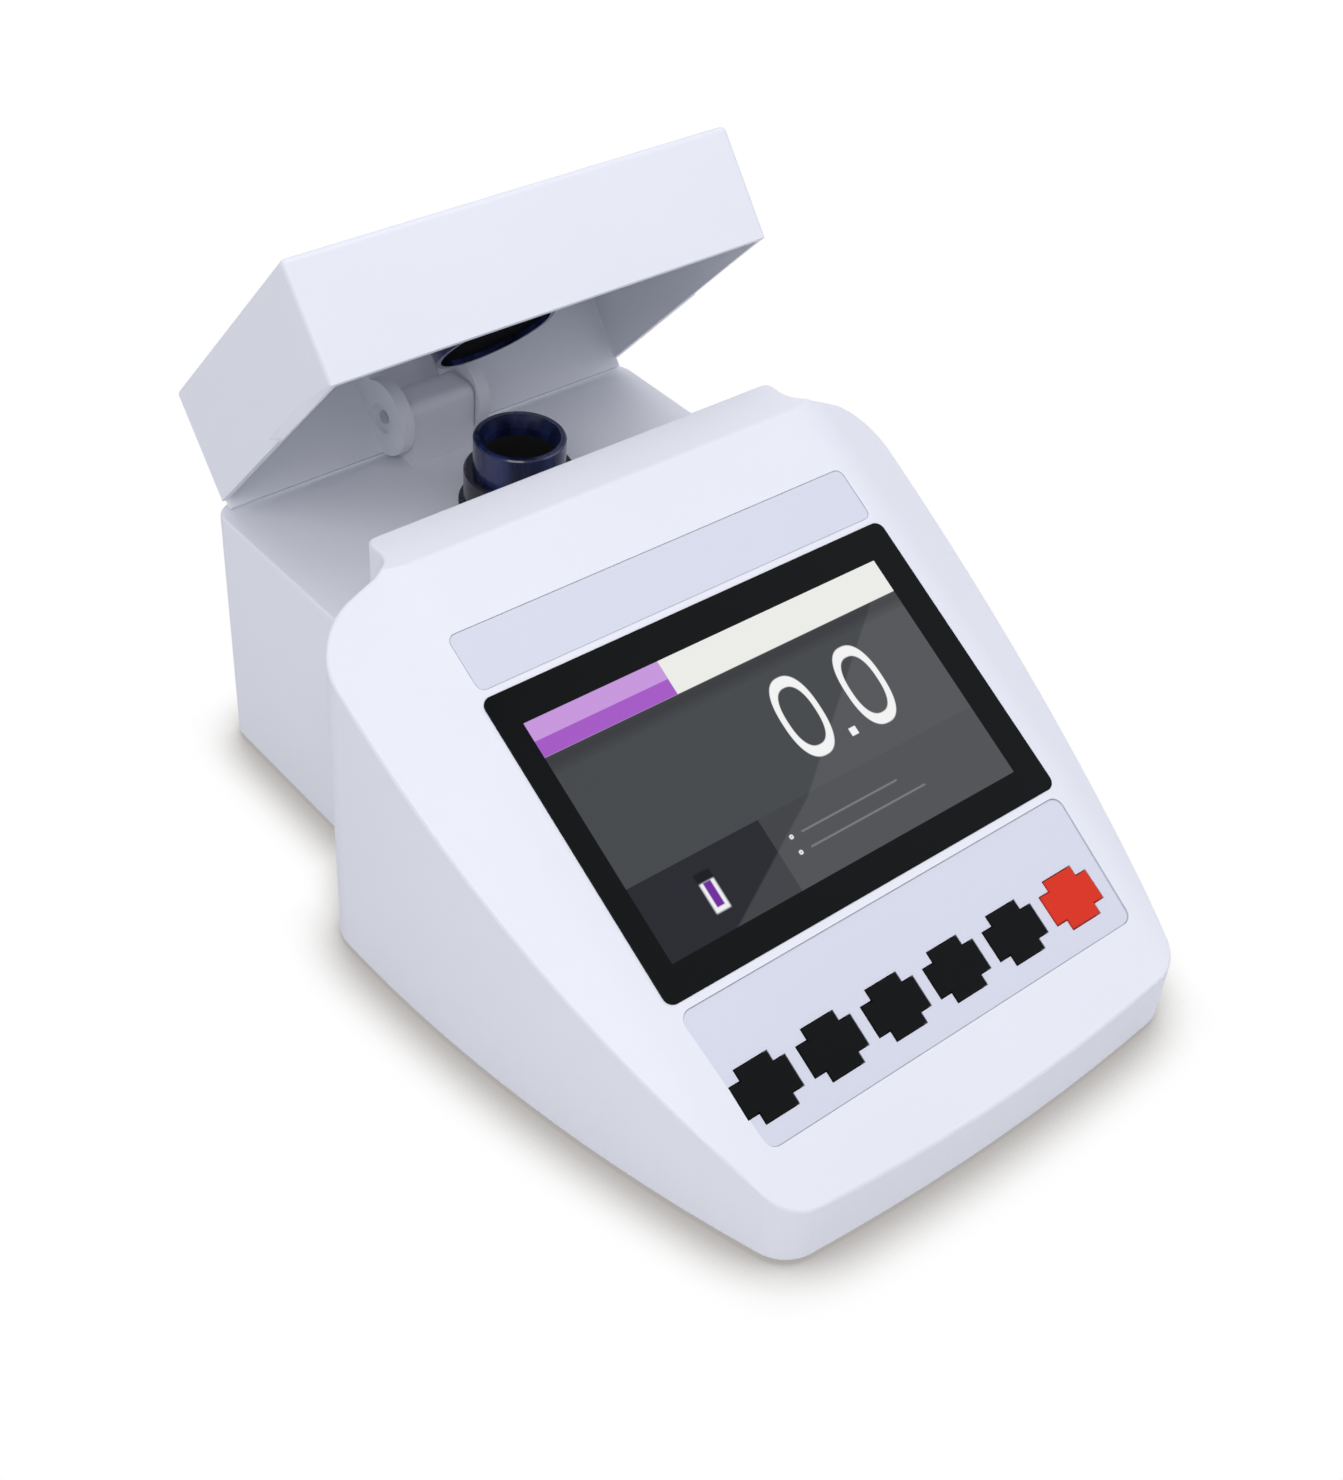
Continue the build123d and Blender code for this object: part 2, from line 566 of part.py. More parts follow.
chamber = Pos(0, WELL_Y, CHAMBER_BOTTOM) * Box(CHAMBER_W, CHAMBER_D, CHAMBER_H, align=UP)
chamber = fillet(chamber.edges().filter_by(Axis.Z), 4.0)
for x, y in LUGS:
    side = 1 if x > 0 else -1
    low = DECK_UNDER - CHAMBER_DROP - CHAMBER_LUG_T
    chamber += upright(CHAMBER_LUG_R, low, DECK_UNDER - CHAMBER_DROP, x, y)
    arm = Box(abs(x) - CHAMBER_W / 2 + 4, 2 * CHAMBER_LUG_R, CHAMBER_LUG_T, align=UP)
    chamber += Pos(side * (CHAMBER_W / 2 + abs(x) - 4) / 2, y, low) * arm
    chamber -= upright(SCREW_R + SCREW_FIT, low - 1, DECK_UNDER, x, y)
chamber -= upright(TUBE_R + FIT, tube_foot, DECK_UNDER + 1, 0, WELL_Y)
chamber -= upright(BORE_R, WELL_BOTTOM, DECK_UNDER, 0, WELL_Y)
chamber -= upright(PAD_DISC_R, WELL_BOTTOM - PAD_DISC_T, DECK_UNDER, 0, WELL_Y)
chamber_screws = [
    Pos(x, y, DECK_UNDER - CHAMBER_DROP - CHAMBER_LUG_T) * Rot(180, 0, 0) * screw(CHAMBER_SCREW_L) for x, y in LUGS
]
well_pad = upright(PAD_DISC_R - FIT, WELL_BOTTOM - PAD_DISC_T, WELL_BOTTOM - SCREW_FIT, 0, WELL_Y)

front_face = WELL_Y - CHAMBER_D / 2
back_face = WELL_Y + CHAMBER_D / 2
side_face = CHAMBER_W / 2
chamber -= inward(PORT_R, front_face - 1, back_face + 1, 0, BEAM_Z)
chamber -= inward(LAMP_R + FIT, front_face - 1, front_face + OPTIC_SEAT, 0, BEAM_Z)
chamber -= inward(SENSOR_R + FIT, back_face - OPTIC_SEAT, back_face + 1, 0, BEAM_Z)
at_beam = Pos(0, WELL_Y, BEAM_Z)
chamber -= at_beam * across(PORT_R, 0, side_face + 1)
chamber -= at_beam * across(SENSOR_R + FIT, side_face - OPTIC_SEAT, side_face + 1)

lamp = inward(LAMP_R, front_face + OPTIC_SEAT - LAMP_L, front_face + OPTIC_SEAT, 0, BEAM_Z)
lamp -= inward(LENS_R + FIT, front_face + OPTIC_SEAT - LENS_T, front_face + OPTIC_SEAT + 1, 0, BEAM_Z)
for k in range(5):
    y = front_face + OPTIC_SEAT - LAMP_L + 3 + 2.6 * k
    lamp -= inward(LAMP_R + 1, y, y + 1.2, 0, BEAM_Z) - inward(LAMP_R - 1.4, y, y + 1.2, 0, BEAM_Z)
lens_y = front_face + OPTIC_SEAT
lens = inward(LENS_R, lens_y - LENS_T, lens_y, 0, BEAM_Z)
lens_r = (LENS_R**2 + LENS_T**2) / (2 * LENS_T)
lens &= Pos(0, lens_y - lens_r, BEAM_Z) * Sphere(lens_r)
sensor_back = inward(SENSOR_R, back_face - OPTIC_SEAT, back_face - OPTIC_SEAT + SENSOR_L, 0, BEAM_Z)
sensor_back += inward(SENSOR_R + 1.5, back_face, back_face + 2, 0, BEAM_Z)
sensor_side = at_beam * across(SENSOR_R, side_face - OPTIC_SEAT, side_face - OPTIC_SEAT + SENSOR_L)
sensor_side += at_beam * across(SENSOR_R + 1.5, side_face, side_face + 2)

# Hinge

foot_z = DECK_Z - HINGE_Z
block_profile = make_face(
    Polyline(
        (BLOCK_FRONT, foot_z),
        (BLOCK_FRONT, BLOCK_TOP),
        (0, BLOCK_TOP),
        (BLOCK_TOP, 0),
        (BLOCK_FOOT, foot_z),
        close=True,
    )
)
block_profile = fillet(block_profile.vertices().sort_by_distance((BLOCK_FRONT, BLOCK_TOP))[0], 4.0)
block_profile += Circle(BLOCK_TOP)
at_hinge = Pos(HINGE_X, HINGE_Y, HINGE_Z)
block = at_hinge * extrude(Plane.YZ * block_profile, BLOCK_HALF, both=True)
block -= at_hinge * across(PIN_R + PIN_FIT, -BLOCK_HALF - 1, BLOCK_HALF + 1)
for x, y in BLOCK_SCREWS:
    block -= upright(PILOT_R, DECK_Z - 1, DECK_UNDER + BLOCK_SCREW_L + 1, x, y)
block_screws = [Pos(x, y, DECK_UNDER) * Rot(180, 0, 0) * screw(BLOCK_SCREW_L) for x, y in BLOCK_SCREWS]
pin = at_hinge * across(PIN_R, -EAR_OUT + EAR_SINK / 2, EAR_OUT - EAR_SINK / 2)

# Lid


def lid_profile(wall, roof):
    """Parallelogram side view, its top shifted forward by the lean of the walls."""
    shift = LID_H * tan(radians(LID_LEAN))
    slant = wall / cos(radians(LID_LEAN))
    run = roof * tan(radians(LID_LEAN))
    front = LID_BACK - LID_L
    under = 1.0 if wall else 0.0
    dip = under * tan(radians(LID_LEAN))
    return make_face(
        Polyline(
            (LID_BACK - slant + dip, LID_RIM - under),
            (front + slant + dip, LID_RIM - under),
            (front + slant - shift + run, LID_RIM + LID_H - roof),
            (LID_BACK - slant - shift + run, LID_RIM + LID_H - roof),
            close=True,
        )
    )


def lid_block(wall, roof, radius):
    body = extrude(Plane.YZ * lid_profile(wall, roof), LID_HALF - wall, both=True)
    rim = LID_RIM - 1 if wall else LID_RIM
    sharp = [e for e in body.edges() if e.center().Z > rim + 1]
    return fillet(sharp, radius)


lid = lid_block(0, 0, LID_R) - lid_block(LID_WALL, LID_ROOF, 0.8)

back_y = [LID_BACK, LID_BACK - LID_WALL / cos(radians(LID_LEAN))]
slip = tan(radians(LID_LEAN))
skirt = make_face(
    Polyline(
        (back_y[0] - slip, LID_RIM + 1),
        (back_y[0] + slip * SKIRT, LID_RIM - SKIRT),
        (back_y[1] + slip * SKIRT, LID_RIM - SKIRT),
        (back_y[1] - slip, LID_RIM + 1),
        close=True,
    )
)
lid += extrude(Plane.YZ * skirt, LID_HALF - LID_R, both=True)


def scoop_section(y, height, hook=0.0):
    """Cut across a side wall, down its outside and sloping in to the rim, leaning by the hook."""
    slant = hook / height
    corners = [
        (LID_HALF + 1, y - slant * (height + 1), LID_RIM - 1),
        (LID_HALF + 1, y + slant, LID_RIM + height + 1),
        (LID_HALF, y, LID_RIM + height),
        (LID_HALF - GRIP_DEPTH, y - slant * (height + 1), LID_RIM - 1),
    ]
    return make_face(Polyline(*corners, close=True))


front_end = LID_BACK - LID_L
scoop = loft(
    [
        scoop_section(front_end - 1, GRIP_TIP),
        scoop_section(front_end + GRIP_START, GRIP_HIGH),
        scoop_section(front_end + GRIP_END, GRIP_LOW, GRIP_HOOK),
    ],
    ruled=True,
)
lid -= scoop
lid -= mirror(scoop, about=Plane.YZ)
lid -= Pos(HINGE_X, LID_BACK, LID_RIM - SKIRT - 1) * Box(
    2 * KNUCKLE_GAP_HALF, 6 * LID_WALL, KNUCKLE_GAP_TOP - LID_RIM + SKIRT + 1, align=UP
)

for side in (-1, 1):
    ear = across(EAR_R, side * EAR_IN, side * EAR_OUT)
    web = make_face(
        Polyline((-WEB_FRONT, 0), (-WEB_FRONT, WEB_H), (WEB_BACK, WEB_H), (LID_BACK - 1, 0), close=True)
    )
    web = extrude(Plane.YZ * web, EAR_OUT - EAR_IN)
    ear += Pos(EAR_IN if side > 0 else -EAR_OUT, 0, 0) * web
    ear -= across(PIN_R + PIN_FIT, side * (EAR_IN - 1), side * (EAR_OUT + 1))
    ear -= across(EAR_SINK_R, side * (EAR_OUT - EAR_SINK), side * (EAR_OUT + 1))
    lid += Pos(HINGE_X, 0, 0) * ear

ceiling = LID_RIM + LID_H - LID_ROOF
cup_screws_at = PolarLocations(CUP_SCREW_R, 3, start_angle=90).locations
for spot in cup_screws_at:
    at = Pos(0, CUP_Y, 0) * spot
    lid += at * Pos(0, 0, ceiling - CUP_BOSS_H) * Cylinder(BOSS_R, CUP_BOSS_H + 0.5, align=UP)
    lid -= at * Pos(0, 0, ceiling - CUP_BOSS_H - 1) * Cylinder(PILOT_R, CUP_BOSS_H + 1, align=UP)

cup_disc = ceiling - CUP_BOSS_H - CUP_DISC_T
cup = Pos(0, CUP_Y, CUP_RIM) * Cylinder(CUP_R, ceiling - CUP_RIM, align=UP)
cup -= Pos(0, CUP_Y, CUP_RIM - 1) * Cylinder(CUP_R - CUP_WALL, ceiling - CUP_RIM + 2, align=UP)
cup += Pos(0, CUP_Y, cup_disc) * Cylinder(CUP_R - 0.5, CUP_DISC_T, align=UP)
for spot in cup_screws_at:
    cup -= Pos(0, CUP_Y, 0) * spot * Pos(0, 0, cup_disc - 1) * Cylinder(SCREW_R + SCREW_FIT, 5, align=UP)

seal_low = CUP_RIM + SEAL_IN
seal = Pos(0, CUP_Y, seal_low) * Cylinder(CUP_R - CUP_WALL - FIT, cup_disc - seal_low, align=UP)
for spot in cup_screws_at:
    at = Pos(0, CUP_Y, 0) * spot
    seal -= at * Pos(0, 0, cup_disc - HEAD_T - 0.2) * Cylinder(HEAD_R + FIT, HEAD_T + 1, align=UP)
cup_screws = [
    Pos(0, CUP_Y, 0) * spot * Pos(0, 0, cup_disc) * Rot(180, 0, 0) * screw(CUP_DISC_T + CUP_BOSS_H)
    for spot in cup_screws_at
]

lid = LID_FRAME * lid
cup = LID_FRAME * cup
seal = LID_FRAME * seal
cup_screws = [LID_FRAME * s for s in cup_screws]

# Back panel

plate = BACK * extrude(RectangleRounded(PLATE_W, PLATE_H, PLATE_R), -PLATE_T)
for x, z in PLATE_SCREWS:
    plate -= inward(SCREW_R + SCREW_FIT, DECK_REAR_Y - 3 * PLATE_T, DECK_REAR_Y + 1, x, z)
plate_screws = [Pos(x, DECK_REAR_Y, z) * Rot(-90, 0, 0) * screw(PLATE_SCREW_L) for x, z in PLATE_SCREWS]

at_rocker = Pos(ROCKER_X, DECK_REAR_Y, PLATE_Z)
frame_body = at_rocker * Box(ROCKER_W, ROCKER_BODY, ROCKER_H, align=(Align.CENTER, Align.MAX, Align.CENTER))
plate -= at_rocker * Box(ROCKER_W + 2 * FIT, 4 * PLATE_T, ROCKER_H + 2 * FIT)
rocker_frame = frame_body + at_rocker * Box(
    ROCKER_FRAME_W, ROCKER_FRAME_T, ROCKER_FRAME_H, align=(Align.CENTER, Align.MIN, Align.CENTER)
)
rocker_frame -= at_rocker * Pos(0, ROCKER_FRAME_T + 1, 0) * Box(
    ROCKER_W - 2, 12, ROCKER_H - 2, align=(Align.CENTER, Align.MAX, Align.CENTER)
)
rocker_axis = at_rocker * Pos(0, -4.0, 0)
rocker = make_face(
    Polyline((0, 0), (6.6, -7.6), (8.4, -7.4), (6.4, 0), (8.4, 7.4), (6.6, 7.6), close=True)
)
rocker = extrude(Plane.YZ * rocker, (ROCKER_W - 2) / 2 - RUN, both=True)
rocker = rocker_axis * Rot(ROCKER_TURN, 0, 0) * (rocker + across(1.2, -ROCKER_W / 2 + 1 + RUN, ROCKER_W / 2 - 1 - RUN))

inlet = Pos(INLET_X, DECK_REAR_Y, PLATE_Z) * Rot(90, 0, 0) * Cylinder(5.5, 16, align=UP)
inlet += inward(7.5, DECK_REAR_Y, DECK_REAR_Y + 1.6, INLET_X, PLATE_Z)
inlet -= inward(3.2, DECK_REAR_Y - 11, DECK_REAR_Y + 2, INLET_X, PLATE_Z)
inlet += inward(1.0, DECK_REAR_Y - 12, DECK_REAR_Y - 1, INLET_X, PLATE_Z)
plate -= inward(5.5 + FIT, DECK_REAR_Y - 2 * PLATE_T, DECK_REAR_Y + 1, INLET_X, PLATE_Z)

at_port = Pos(PORT_X, DECK_REAR_Y, PLATE_Z)
usb = at_port * Box(12.0, 17.0, 11.0, align=(Align.CENTER, Align.MAX, Align.CENTER))
usb -= at_port * Pos(0, 1, 0) * Box(10.6, 13.0, 9.6, align=(Align.CENTER, Align.MAX, Align.CENTER))
usb += at_port * Pos(0, -2, 0) * Box(5.6, 14.0, 3.2, align=(Align.CENTER, Align.MAX, Align.CENTER))
plate -= at_port * Box(12.0 + 2 * FIT, 4 * PLATE_T, 11.0 + 2 * FIT)

# Export

nodes = {
    "housing_cover": cover,
    "base_plate": base,
    "rubber_feet": Compound(feet),
    "base_screws": Compound(base_screws),
    "display_glass": glass,
    "display_tape": tape,
    "lcd_module": lcd,
    "label_strip": label,
    "keypad_overlay": keypad,
    "keypad_board": keyboard,
    "key_switches": Compound(switches),
    "keypad_screws": Compound(keyboard_screws),
    "main_board": main_board,
    "board_parts": Compound(board_parts),
    "main_screws": Compound(main_screws),
    "well_tube": tube,
    "well_collar": collar,
    "well_pad": well_pad,
    "chamber_block": chamber,
    "chamber_screws": Compound(chamber_screws),
    "lamp_holder": lamp,
    "lamp_lens": lens,
    "scatter_detector": sensor_side,
    "beam_detector": sensor_back,
    "hinge_block": block,
    "hinge_pin": pin,
    "hinge_screws": Compound(block_screws),
    "lid_shell": lid,
    "light_cup": cup,
    "foam_seal": seal,
    "cup_screws": Compound(cup_screws),
    "rear_plate": plate,
    "plate_screws": Compound(plate_screws),
    "rocker_frame": rocker_frame,
    "rocker": rocker,
    "power_inlet": inlet,
    "data_port": usb,
}
for k, solid in enumerate(keys):
    nodes["key_red" if k == KEY_COUNT - 1 else f"key_{k + 1}"] = solid

os.makedirs("parts", exist_ok=True)
for name, shape in nodes.items():
    export_step(Pos(0, -MIDDLE_Y, 0) * shape, f"parts/{name}.step")
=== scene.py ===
import math

import bpy
import numpy as np
from mathutils import Matrix, Vector


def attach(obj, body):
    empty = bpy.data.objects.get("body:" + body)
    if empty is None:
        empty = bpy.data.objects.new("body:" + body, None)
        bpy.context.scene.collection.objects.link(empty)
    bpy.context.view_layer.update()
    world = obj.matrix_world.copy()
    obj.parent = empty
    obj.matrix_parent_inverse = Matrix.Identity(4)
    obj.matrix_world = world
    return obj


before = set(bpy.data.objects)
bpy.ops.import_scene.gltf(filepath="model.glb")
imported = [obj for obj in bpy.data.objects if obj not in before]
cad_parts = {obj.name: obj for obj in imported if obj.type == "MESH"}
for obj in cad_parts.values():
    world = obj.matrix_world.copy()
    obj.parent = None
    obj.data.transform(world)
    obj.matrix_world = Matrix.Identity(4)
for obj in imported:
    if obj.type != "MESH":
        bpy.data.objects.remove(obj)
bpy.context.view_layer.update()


# The housing cover: one injection-moulded shell of white ABS, wedge console and sample box in
# one piece.  Its tool was spark-eroded, so the skin has a very fine even grain.  The same
# plastic makes the lid shell and the hinge block.
def new_group(name, inputs, outputs):
    """An empty shader group with named sockets; inputs are (name, socket type, default)."""
    group = bpy.data.node_groups.new(name, "ShaderNodeTree")
    for label, kind, value in inputs:
        socket = group.interface.new_socket(name=label, in_out="INPUT", socket_type=kind)
        if value is not None:
            socket.default_value = value
    for label, kind in outputs:
        group.interface.new_socket(name=label, in_out="OUTPUT", socket_type=kind)
    return group, group.nodes.new("NodeGroupInput").outputs, group.nodes.new("NodeGroupOutput").inputs


def node(tree, kind, **settings):
    """One node of a tree.

    A setting that names an input sets its value, or links it when the setting is a socket; the
    others are the node's own properties.
    """
    made = tree.nodes.new(kind)
    for label, value in settings.items():
        socket = made.inputs.get(label.replace("_", " "))
        if socket is None:
            setattr(made, label, value)
        elif isinstance(value, bpy.types.NodeSocket):
            tree.links.new(value, socket)
        else:
            socket.default_value = value
    return made


def calc(tree, operation, *terms, clamp=False):
    """Result of a math node; each term is a socket to link or a number to set."""
    made = node(tree, "ShaderNodeMath", operation=operation, use_clamp=clamp)
    for socket, term in zip(made.inputs, terms):
        if isinstance(term, bpy.types.NodeSocket):
            tree.links.new(term, socket)
        else:
            socket.default_value = term
    return made.outputs[0]


def blend(tree, share, first, second):
    """Colour between two, each a socket to link or a colour to set."""
    made = node(tree, "ShaderNodeMix", data_type="RGBA", Factor=share)
    for label, value in (("A", first), ("B", second)):
        if isinstance(value, bpy.types.NodeSocket):
            tree.links.new(value, made.inputs[label])
        else:
            made.inputs[label].default_value = value
    return made.outputs["Result"]


def moulded_skin():
    """Fine eroded grain, slow shade drift and handling marks of a moulded face.

    Height is a fine noise; Colour drifts by a few percent over some centimetres; Roughness is
    raised and lowered by wiped smears.
    """
    group, given, result = new_group(
        "moulded_skin",
        [
            ("Colour", "NodeSocketColor", (0.8, 0.8, 0.8, 1.0)),
            ("Drift", "NodeSocketFloat", 0.03),
            ("Roughness", "NodeSocketFloat", 0.45),
            ("Smear", "NodeSocketFloat", 0.05),
            ("Grain", "NodeSocketFloat", 1500.0),
        ],
        [
            ("Colour", "NodeSocketColor"),
            ("Roughness", "NodeSocketFloat"),
            ("Height", "NodeSocketFloat"),
        ],
    )
    place = node(group, "ShaderNodeTexCoord").outputs["Object"]
    fine = node(group, "ShaderNodeTexNoise", Vector=place, Scale=given["Grain"], Detail=3.0, Roughness=0.6)
    broad = node(group, "ShaderNodeTexNoise", Vector=place, Scale=14.0, Detail=4.0)
    wiped = node(group, "ShaderNodeTexNoise", Vector=place, Scale=55.0, Detail=5.0, Distortion=1.2)
    centred = [calc(group, "SUBTRACT", noise.outputs["Fac"], 0.5) for noise in (broad, wiped)]
    shade = calc(group, "MULTIPLY_ADD", centred[0], given["Drift"], 1.0)
    toned = node(group, "ShaderNodeVectorMath", operation="SCALE", Scale=shade)
    group.links.new(given["Colour"], toned.inputs[0])
    rough = calc(group, "MULTIPLY_ADD", centred[1], given["Smear"], given["Roughness"])
    group.links.new(toned.outputs[0], result["Colour"])
    group.links.new(rough, result["Roughness"])
    group.links.new(fine.outputs["Fac"], result["Height"])
    return group


SKIN = moulded_skin()


def finish_of(name, group, given, strength, depth, **shader):
    """A material on Principled.

    The group, with the values given, feeds the roughness, the bump and, if it has one, the
    colour; the shader values are set on Principled itself.
    """
    made = bpy.data.materials.new(name)
    made.use_nodes = True
    tree = made.node_tree
    face = tree.nodes["Principled BSDF"]
    effect = node(tree, "ShaderNodeGroup", node_tree=group)
    for label, value in given.items():
        effect.inputs[label].default_value = value
    bump = node(tree, "ShaderNodeBump", Strength=strength, Distance=depth, Height=effect.outputs["Height"])
    if "Colour" in effect.outputs:
        tree.links.new(effect.outputs["Colour"], face.inputs["Base Color"])
    tree.links.new(effect.outputs["Roughness"], face.inputs["Roughness"])
    tree.links.new(bump.outputs["Normal"], face.inputs["Normal"])
    for label, value in shader.items():
        face.inputs[label.replace("_", " ")].default_value = value
    return made


def plastic(name, colour, rough, grain=1500.0, depth=0.00002, drift=0.05, smear=0.08, **shader):
    """A moulded plastic, from the skin group."""
    given = {"Colour": colour, "Drift": drift, "Roughness": rough, "Smear": smear, "Grain": grain}
    return finish_of(name, SKIN, given, 0.6, depth, **shader)


def dress(material, *names):
    """Puts one material on CAD nodes."""
    for name in names:
        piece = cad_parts[name]
        piece.data.materials.clear()
        piece.data.materials.append(material)


white_abs = plastic("white_abs", (0.80, 0.81, 0.86, 1.0), 0.42, Specular_IOR_Level=0.45)
dress(white_abs, "housing_cover", "lid_shell", "hinge_block")


# The base plate: grey ABS tray screwed up into the cover, coarser grain than the cover.  The
# feet are pressed rubber pads whose plugs sit in the plate; the pad in the well is the same.
grey_abs = plastic("grey_abs", (0.42, 0.43, 0.46, 1.0), 0.55, grain=900.0, depth=0.00004)
dress(grey_abs, "base_plate")
foot_rubber = plastic("foot_rubber", (0.025, 0.025, 0.027, 1.0), 0.8, grain=700.0, depth=0.00006)
dress(foot_rubber, "rubber_feet", "well_pad")


# The display window: chemically hardened glass, printed black on its back round the lit area,
# stuck into the cover's recess.  Behind it sit the adhesive frame and the LCD module.
WINDOW_ROUGHNESS = 0.20
WINDOW_SHINE = 0.07
window = plastic("printed_glass", (0.003, 0.0035, 0.0035, 1.0), WINDOW_ROUGHNESS, grain=60.0,
                 depth=0.000002, drift=0.2, Specular_IOR_Level=WINDOW_SHINE)
dress(window, "display_glass")
dress(plastic("adhesive_film", (0.02, 0.02, 0.02, 1.0), 0.7), "display_tape")


# The lit picture of the LCD: a white header with a purple tab, grey measuring field with the
# reading 0.0, a lower band with a dark corner that shows a vial.  It is drawn on a sheet a hair
# above the glass, because the glass node is solid and dark.
FASCIA_POINT = Vector((0.0, -0.0558, 0.0892))
FASCIA_TILT = math.radians(29.05)
PICTURE_SIZE = (154.08, 89.5)
PICTURE_U = -1.7
PICTURE_N = 0.34
PICTURE_CELLS = (8, 5)
BEYOND = 100.0
LOWER_BAND_TOP = -17.5
TAB_RIGHT = -24.0
HEADER_LOW = 31.7
FIGURE_WHITE = (0.96, 0.96, 0.96, 1.0)


def fascia_spot(u, v, n):
    """Millimetres across, up the slope and out of the fascia, turned into the object's metres."""
    along, out = np.asarray(v) / 1000, np.asarray(n) / 1000
    y = FASCIA_POINT.y + along * math.cos(FASCIA_TILT) - out * math.sin(FASCIA_TILT)
    z = FASCIA_POINT.z + along * math.sin(FASCIA_TILT) + out * math.cos(FASCIA_TILT)
    return np.stack(np.broadcast_arrays(np.asarray(u) / 1000, y, z), axis=-1)


def surface(name, points, uv):
    """Mesh of a grid of points: every cell between neighbouring rows and columns is one quad."""
    rows, columns = points.shape[:2]
    index = np.arange(rows * columns).reshape(rows, columns)
    corners = [index[:-1, :-1], index[:-1, 1:], index[1:, 1:], index[1:, :-1]]
    quads = np.stack(corners, axis=-1).reshape(-1, 4)
    mesh = bpy.data.meshes.new(name)
    mesh.from_pydata(points.reshape(-1, 3).tolist(), [], quads.tolist())
    layer = mesh.uv_layers.new(name="UVMap")
    layer.data.foreach_set("uv", uv.reshape(-1, 2)[quads.ravel()].ravel())
    mesh.shade_smooth()
    mesh.update()
    piece = bpy.data.objects.new(name, mesh)
    bpy.context.scene.collection.objects.link(piece)
    return piece


across, up = np.meshgrid(*(np.linspace(0, 1, cells + 1) for cells in PICTURE_CELLS))
picture_points = fascia_spot(
    (across - 0.5) * PICTURE_SIZE[0] + PICTURE_U, (up - 0.5) * PICTURE_SIZE[1], PICTURE_N
)
picture = surface("screen_picture", picture_points, np.stack([across, up], axis=-1))


def bar_mask():
    """1 inside an upright rectangle: the product of four soft steps, one at each side."""
    sides = ("Left", "Right", "Low", "High")
    group, given, result = new_group(
        "bar_mask",
        [("Place", "NodeSocketVector", None)]
        + [(label, "NodeSocketFloat", 0.0) for label in sides]
        + [("Soft", "NodeSocketFloat", 0.25)],
        [("Mask", "NodeSocketFloat")],
    )
    axes = node(group, "ShaderNodeSeparateXYZ", Vector=given["Place"]).outputs
    gaps = [
        calc(group, "SUBTRACT", axes["X"], given["Left"]),
        calc(group, "SUBTRACT", given["Right"], axes["X"]),
        calc(group, "SUBTRACT", axes["Y"], given["Low"]),
        calc(group, "SUBTRACT", given["High"], axes["Y"]),
    ]
    product = 1.0
    for gap in gaps:
        step = calc(group, "DIVIDE", gap, given["Soft"])
        held = calc(group, "ADD", step, 0.5, clamp=True)
        product = calc(group, "MULTIPLY", product, held)
    group.links.new(product, result["Mask"])
    return group


def ring_mask():
    """1 on the stroke of a zero: where the rounded-oval distance from the centre is near one."""
    roundness = 2.4
    sharpness = 4.0
    group, given, result = new_group(
        "ring_mask",
        [("Place", "NodeSocketVector", None)]
        + [(label, "NodeSocketFloat", 1.0) for label in ("X", "Y", "Half Width", "Half Height", "Stroke")],
        [("Mask", "NodeSocketFloat")],
    )
    axes = node(group, "ShaderNodeSeparateXYZ", Vector=given["Place"]).outputs
    powers = []
    for axis, half in (("X", "Half Width"), ("Y", "Half Height")):
        gap = calc(group, "SUBTRACT", axes[axis], given[axis])
        share = calc(group, "DIVIDE", gap, given[half])
        powers.append(calc(group, "POWER", calc(group, "ABSOLUTE", share), roundness))
    distance = calc(group, "POWER", calc(group, "ADD", *powers), 1 / roundness)
    away = calc(group, "ABSOLUTE", calc(group, "SUBTRACT", distance, 1.0))
    inside = calc(group, "SUBTRACT", given["Stroke"], calc(group, "MULTIPLY", away, given["Half Width"]))
    group.links.new(calc(group, "MULTIPLY", inside, sharpness, clamp=True), result["Mask"])
    return group


BAR, RING = bar_mask(), ring_mask()
lit = bpy.data.materials.new("lit_picture")
lit.use_nodes = True
paint = lit.node_tree
glow = paint.nodes["Principled BSDF"].inputs
glow["Base Color"].default_value = (0.004, 0.004, 0.005, 1.0)
glow["Roughness"].default_value = 0.16
glow["Specular IOR Level"].default_value = WINDOW_SHINE
glow["Emission Strength"].default_value = 0.92
spread = node(paint, "ShaderNodeVectorMath", operation="MULTIPLY_ADD")
paint.links.new(node(paint, "ShaderNodeUVMap").outputs[0], spread.inputs[0])
spread.inputs[1].default_value = (*PICTURE_SIZE, 0)
spread.inputs[2].default_value = (PICTURE_U - PICTURE_SIZE[0] / 2, -PICTURE_SIZE[1] / 2, 0)
PLACE = spread.outputs[0]


def lay(below, mask, colour, opacity=1.0):
    """The colour laid over the picture so far, as far as the mask goes."""
    share = calc(paint, "MULTIPLY", mask, opacity) if opacity < 1 else mask
    return blend(paint, share, below, colour)


def bar(left, right, low, high, soft=0.25):
    """Mask of a rectangle, in millimetres on the fascia."""
    made = node(paint, "ShaderNodeGroup", node_tree=BAR)
    paint.links.new(PLACE, made.inputs["Place"])
    for label, value in zip(("Left", "Right", "Low", "High", "Soft"), (left, right, low, high, soft)):
        made.inputs[label].default_value = value
    return made.outputs["Mask"]


